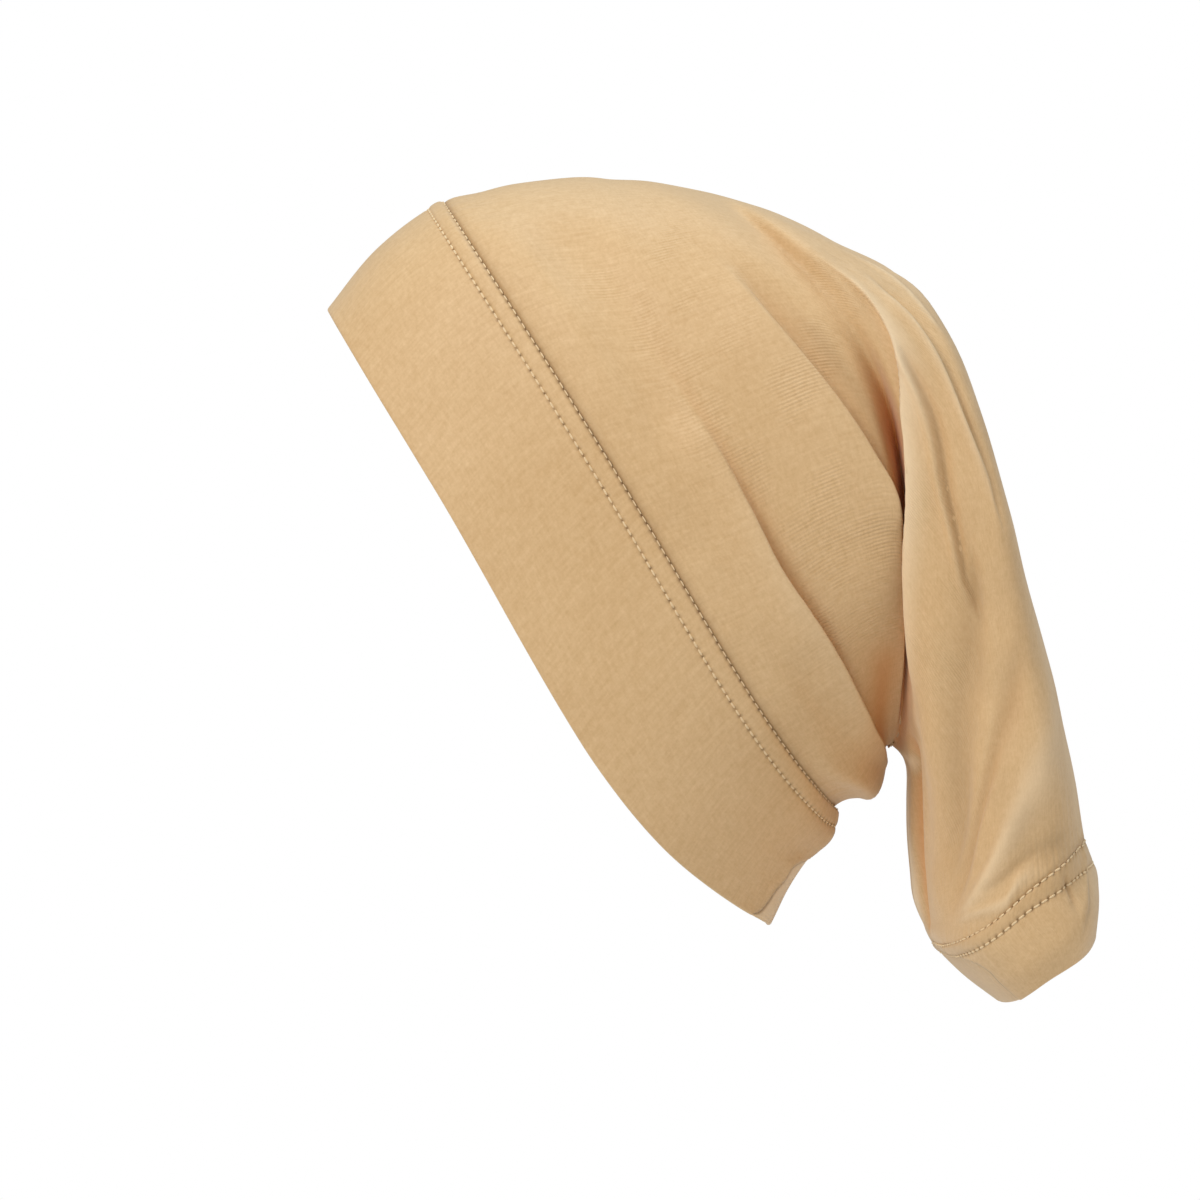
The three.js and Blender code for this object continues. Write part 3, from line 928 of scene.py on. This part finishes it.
def makeCrown():
    start, end = seamPlaces["bandRowTwo"], seamPlaces["tailRowOne"]
    stations = closeStations(start, end, crownTube["spacing"], crownTube["closer"])

    def beside(station):
        atBand, atTail = (bell(gap, *crownTube["tuckWidths"]) for gap in (station - start, end - station))
        return atBand + crownTube["tailTuck"] * atTail

    def relief(station, turn):
        return -crownTube["tuckIn"] * beside(station)

    # painted shade: warm in the groove where the crown runs in under the tail, and darker where the crown
    # dips beside the bands
    def tones(station, turn):
        half = halfTurnOf(turn)
        groove = bell(station / sizes["tubeLength"] - form["grooveAt"], *crownTube["grooveWidths"])
        groove = groove * rampUp(form["grooveFrom"] + crownTube["grooveInset"], form["grooveFull"], half)
        groove = groove * (1 - crownTube["grooveLoss"] * rampUp(*crownTube["lossFrom"], half))
        return crownTube["groovePaintedShade"] * groove, crownTube["tuckPaintedShade"] * beside(station)

    return clothSheet("crown_cloth", stations, crownTube["columns"], crownTube["wall"], relief, tones)


band = makeFrontBand()
crown = makeCrown()
tail = makeTailBand()


def triangles(piece):
    return sum(len(face.vertices) - 2 for face in piece.data.polygons)


print("cloth made:", [triangles(piece) for piece in (band, crown, tail)], "triangles")

dash = {
    "sides": 8,
    "rings": 6,
    "radius": 0.36,
    "length": 0.8,  # share of the pitch
    "blunt": 0.8,
    "flat": 0.8,
}


# one dash of thread, along x and lying on z = 0
def makeDash():
    bpy.ops.object.select_all(action="DESELECT")
    bpy.ops.mesh.primitive_uv_sphere_add(segments=dash["sides"], ring_count=dash["rings"], radius=1,
                                         rotation=(0, math.pi / 2, 0))
    body = bpy.context.object
    bpy.ops.object.transform_apply(location=True, rotation=True, scale=True)
    points = np.array([v.co for v in body.data.vertices])
    # sorted, because the order of a new sphere's faces differs from run to run
    faces = sorted(list(face.vertices) for face in body.data.polygons)
    bpy.data.objects.remove(body)
    along = np.sign(points[:, 0]) * np.abs(points[:, 0]) ** dash["blunt"]
    points = np.stack([along * dash["length"] * stitch["pitch"] / 2, points[:, 1] * dash["radius"],
                       points[:, 2] * dash["radius"] * dash["flat"]], axis=-1)
    return points, faces


def stitchThread(name, band):
    shape, dashFaces = makeDash()
    relief = bandRelief(band)
    points, faces = [], []
    for key, (scale, rise) in band["stitches"].items():
        row = stitchRows[band[key]]
        turns, count = row["count"]
        total = int(round(count[-1]))
        centre = np.interp(np.arange(total) + 0.5, count, turns)
        place = np.full(centre.shape, float(row["place"]))
        out = unit(readGrid(drapedOut, place, centre))
        around = unit(readGrid(drapedAround, place, centre))
        side = np.cross(out, around)
        base = readGrid(drapedGrid, place, centre) + out * (relief(place, centre) + rise)[:, None]
        x, y, z = (shape * (1, scale, scale)).T[..., None]
        for k in range(total):
            first = len(points) * len(shape)
            points.append(base[k] + x * around[k] + y * side[k] + z * out[k])
            faces += [[first + corner for corner in face] for face in dashFaces]
    mesh = bpy.data.meshes.new(name)
    mesh.from_pydata((np.concatenate(points) / 1000).tolist(), [], faces)
    mesh.shade_smooth()
    piece = bpy.data.objects.new(name, mesh)
    bpy.context.collection.objects.link(piece)
    return piece


bandStitches = stitchThread("band_stitches", frontBand)
tailStitches = stitchThread("tail_stitches", tailBand)
print("stitches made:", triangles(bandStitches), triangles(tailStitches), "triangles")


# a colour given as the screen shows it
def screenColour(r, g, b):
    return tuple(((c / 255 + 0.055) / 1.055) ** 2.4 for c in (r, g, b)) + (1,)


jersey = {
    "light": screenColour(225, 189, 141),
    "dark": screenColour(200, 160, 108),
    # colours that paint light and shade into the cloth: warm shade in creases and hollows, darker shade, and
    # a highlight on crests
    "paintedCreaseShade": screenColour(222, 142, 66),
    "paintedDarkShade": screenColour(138, 104, 62),
    "paintedHighlight": screenColour(246, 220, 182),
    "roughness": 0.6,
    "sheen": 0.28,
    "sheenTint": screenColour(255, 244, 226),
    "sheenRoughness": 0.5,
    "specular": 0.45,
    "crownRibs": 0.7,
    "bandRibs": 0,
    "ribsFrom": 70 / knit["course"],  # the puff behind the band shows none
    "ribsFull": 95 / knit["course"],
    "ribBump": 0.35,
    "bumpDepth": 0.0003,
    "fineBump": 0.5,
    "fineDepth": 0.0006,
}

# The yarn's patterns. Tones are shares of the change from the dark colour to the light one.
yarn = {
    "wanderScale": 60,
    "wander": 0.8,
    "patchScale": 40,
    "patchFrom": 0.44,
    "patchFull": 0.7,
    "ribTone": 0.1,
    "streakAcross": 1.1,
    "streakAlong": 0.12,
    "streakDetail": 3,
    "streakTone": 0.35,
    "barAcross": 0.35,
    "barAlong": 0.9,
    "barTone": 0.3,
    "fuzzScales": (1400, 480),
    "fuzzShare": 0.5,
    "fuzzMiddle": 0.28,
    "fuzzTone": 0.5,
    "cloudScale": 22,
    "cloudTone": 0.25,
    "darkAt": 0.3,
    "lightAt": 0.8,
    "fineScale": 130,
    "fineDetail": 4,
    "threadHeight": 0.8,
}


class Nodes:
    def __init__(self, tree):
        self.tree = tree
        tree.nodes.clear()

    def add(self, kind, sockets=(), **settings):
        node = self.tree.nodes.new(kind)
        for key, value in settings.items():
            setattr(node, key, value)
        for key, value in dict(sockets).items():
            if isinstance(value, bpy.types.NodeSocket):
                self.tree.links.new(value, node.inputs[key])
            else:
                node.inputs[key].default_value = value
        return node

    def math(self, operation, a, b):
        return self.add("ShaderNodeMath", {0: a, 1: b}, operation=operation).outputs[0]

    def plus(self, a, b):
        return self.math("ADD", a, b)

    def times(self, a, b):
        return self.math("MULTIPLY", a, b)

    # held between 0 and 1
    def held(self, a):
        return self.math("MAXIMUM", self.math("MINIMUM", a, 1.0), 0.0)

    def noise(self, vector, scale, detail=2.0):
        return self.add("ShaderNodeTexNoise", {"Vector": vector, "Scale": scale, "Detail": detail}).outputs[0]

    # 0 up to low and 1 from high on
    def ramp(self, value, low, high):
        return self.add("ShaderNodeMapRange", {0: value, 1: low, 2: high}).outputs[0]

    def mix(self, share, a, b):
        return self.add("ShaderNodeMix", {0: share, 6: a, 7: b}, data_type="RGBA").outputs[2]

    def attribute(self, name):
        return self.add("ShaderNodeAttribute", attribute_name=name).outputs["Fac"]


def makeJersey(name, look, ribs):
    material = bpy.data.materials.new(name)
    material.use_nodes = True
    n = Nodes(material.node_tree)
    knitPlace = n.add("ShaderNodeUVMap", uv_map="knit").outputs[0]
    split = n.add("ShaderNodeSeparateXYZ", {0: knitPlace})
    wale, course = split.outputs[0], split.outputs[1]
    place = n.add("ShaderNodeTexCoord").outputs["Object"]

    # noise that is drawn out across or along the ribs
    def drawn(across, along, detail):
        vector = n.add("ShaderNodeCombineXYZ", {0: n.times(wale, across), 1: n.times(course, along)})
        return n.noise(vector.outputs[0], 1.0, detail)

    # ribs that wander a little, and show in patches
    wander = n.times(n.noise(place, yarn["wanderScale"]), yarn["wander"])
    rib = n.math("SINE", n.times(n.plus(wale, wander), 2 * math.pi), 0.0)
    patch = n.ramp(n.noise(place, yarn["patchScale"]), yarn["patchFrom"], yarn["patchFull"])
    behindPuff = n.ramp(course, look["ribsFrom"], look["ribsFull"])
    rib = n.times(rib, n.times(n.times(patch, behindPuff), ribs))
    # yarn that is thicker in places, and the small bars of the courses
    streak = drawn(yarn["streakAcross"], yarn["streakAlong"], yarn["streakDetail"])
    bars = drawn(yarn["barAcross"], yarn["barAlong"], 2.0)
    fuzz = n.plus(*(n.times(n.noise(place, scale), yarn["fuzzShare"]) for scale in yarn["fuzzScales"]))
    cloud = n.noise(place, yarn["cloudScale"])
    tone = n.plus(n.times(rib, yarn["ribTone"]), n.times(streak, yarn["streakTone"]))
    tone = n.plus(tone, n.times(bars, yarn["barTone"]))
    tone = n.plus(tone, n.times(cloud, yarn["cloudTone"]))
    tone = n.plus(tone, n.times(n.math("SUBTRACT", fuzz, yarn["fuzzMiddle"]), yarn["fuzzTone"]))
    colour = n.mix(n.ramp(tone, yarn["darkAt"], yarn["lightAt"]), look["dark"], look["light"])
    # painted light and shade: above 0 warm shade painted into creases and hollows, below 0 a highlight
    # painted on crests, and then the darker painted shade
    paintedShadeAndHighlight = n.attribute("paintedShadeAndHighlight")
    colour = n.mix(n.held(paintedShadeAndHighlight), colour, look["paintedCreaseShade"])
    colour = n.mix(n.math("MAXIMUM", n.times(paintedShadeAndHighlight, -1.0), 0.0), colour, look["paintedHighlight"])
    colour = n.mix(n.held(n.attribute("paintedDarkShade")), colour, look["paintedDarkShade"])
    fine = n.add("ShaderNodeBump", {
        "Strength": look["fineBump"],
        "Distance": look["fineDepth"],
        "Height": n.noise(place, yarn["fineScale"], yarn["fineDetail"]),
    })
    threads = n.plus(n.times(streak, yarn["threadHeight"]), n.times(bars, yarn["threadHeight"]))
    bump = n.add("ShaderNodeBump", {
        "Strength": look["ribBump"],
        "Distance": look["bumpDepth"],
        "Height": n.plus(rib, threads),
        "Normal": fine.outputs[0],
    })
    shader = n.add("ShaderNodeBsdfPrincipled", {
        "Base Color": colour,
        "Roughness": look["roughness"],
        "Specular IOR Level": look["specular"],
        "Sheen Weight": look["sheen"],
        "Sheen Roughness": look["sheenRoughness"],
        "Sheen Tint": look["sheenTint"],
        "Normal": bump.outputs[0],
    })
    n.add("ShaderNodeOutputMaterial", {0: shader.outputs[0]})
    return material


threadLook = {
    "light": screenColour(242, 216, 172),
    "dark": screenColour(222, 190, 142),
    "roughness": 0.6,
    "sheen": 0.2,
    "twistScale": 2500,
    "twistBump": 0.4,
    "twistDepth": 0.0001,
}


def makeThread():
    material = bpy.data.materials.new("stitch thread")
    material.use_nodes = True
    n = Nodes(material.node_tree)
    place = n.add("ShaderNodeTexCoord").outputs["Object"]
    twist = n.noise(place, threadLook["twistScale"])
    bump = n.add("ShaderNodeBump", {
        "Strength": threadLook["twistBump"],
        "Distance": threadLook["twistDepth"],
        "Height": twist,
    })
    shader = n.add("ShaderNodeBsdfPrincipled", {
        "Base Color": n.mix(twist, threadLook["dark"], threadLook["light"]),
        "Roughness": threadLook["roughness"],
        "Sheen Weight": threadLook["sheen"],
        "Normal": bump.outputs[0],
    })
    n.add("ShaderNodeOutputMaterial", {0: shader.outputs[0]})
    return material


crownJersey = makeJersey("khaki jersey", jersey, jersey["crownRibs"])
bandJersey = makeJersey("doubled khaki jersey", jersey, jersey["bandRibs"])
thread = makeThread()
print("materials made")

for piece, material, slot in (
    (band, bandJersey, "band_jersey"),
    (crown, crownJersey, "crown_jersey"),
    (tail, bandJersey, "band_jersey"),
    (bandStitches, thread, "band_jersey"),
    (tailStitches, thread, "band_jersey"),
):
    piece.data.materials.append(material)
    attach(piece, "root")
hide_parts("front_band")
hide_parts("crown_tube")
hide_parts("tail_band")

studio = {
    "floorDrop": 0.19,  # metres below the tail
    "floorRadius": 2.6,
    "floorSides": 96,
    "floorColour": (0.88, 0.86, 0.84, 1),
    "floorRoughness": 0.9,
    "worldColour": (1, 1, 1, 1),
    "worldLight": 0.28,
    "target": (0.03, 0, -0.13),
    # power, colour, place and size
    "lights": {
        "key": (32.5, (1, 1, 1), (-1.2, -1.4, 1.4), 1.0),
        "fill": (10.5, (1, 1, 1), (1.6, -1.0, 0.9), 1.6),
        "top": (17, (0.7, 0.88, 1), (0.2, 0.3, 1.8), 1.2),
        "low": (1, (1, 1, 1), (-1.4, -0.7, -0.25), 0.5),
    },
}


def makeFloor():
    bpy.ops.object.select_all(action="DESELECT")
    bpy.ops.mesh.primitive_circle_add(
        vertices=studio["floorSides"], radius=studio["floorRadius"], fill_type="NGON")
    floor = bpy.context.object
    floor.name = "floor"
    floor.data.transform(Matrix.Translation((0, 0, cadBox[0].z - studio["floorDrop"])))
    material = bpy.data.materials.new("pale floor")
    material.use_nodes = True
    shader = material.node_tree.nodes["Principled BSDF"]
    shader.inputs["Base Color"].default_value = studio["floorColour"]
    shader.inputs["Roughness"].default_value = studio["floorRoughness"]
    floor.data.materials.append(material)


def makeLights():
    world = bpy.data.worlds.new("studio")
    bpy.context.scene.world = world
    world.use_nodes = True
    n = Nodes(world.node_tree)
    # the camera sees the world at full strength, and it lights the cap less
    seen = n.add("ShaderNodeLightPath").outputs["Is Camera Ray"]
    strength = n.add("ShaderNodeMapRange", {0: seen, 3: studio["worldLight"], 4: 1.0}).outputs[0]
    background = n.add("ShaderNodeBackground", {0: studio["worldColour"], 1: strength})
    n.add("ShaderNodeOutputWorld", {0: background.outputs[0]})
    for name, (power, colour, place, size) in studio["lights"].items():
        light = bpy.data.lights.new(name, "AREA")
        light.shape = "DISK"
        light.size = size
        light.energy = power
        light.color = colour
        lamp = bpy.data.objects.new(name, light)
        lamp.location = place
        lamp.rotation_euler = (Vector(studio["target"]) - lamp.location).to_track_quat("-Z", "Y").to_euler()
        bpy.context.collection.objects.link(lamp)
    bpy.context.scene.view_settings.view_transform = "Standard"


makeFloor()
makeLights()
print("studio made")
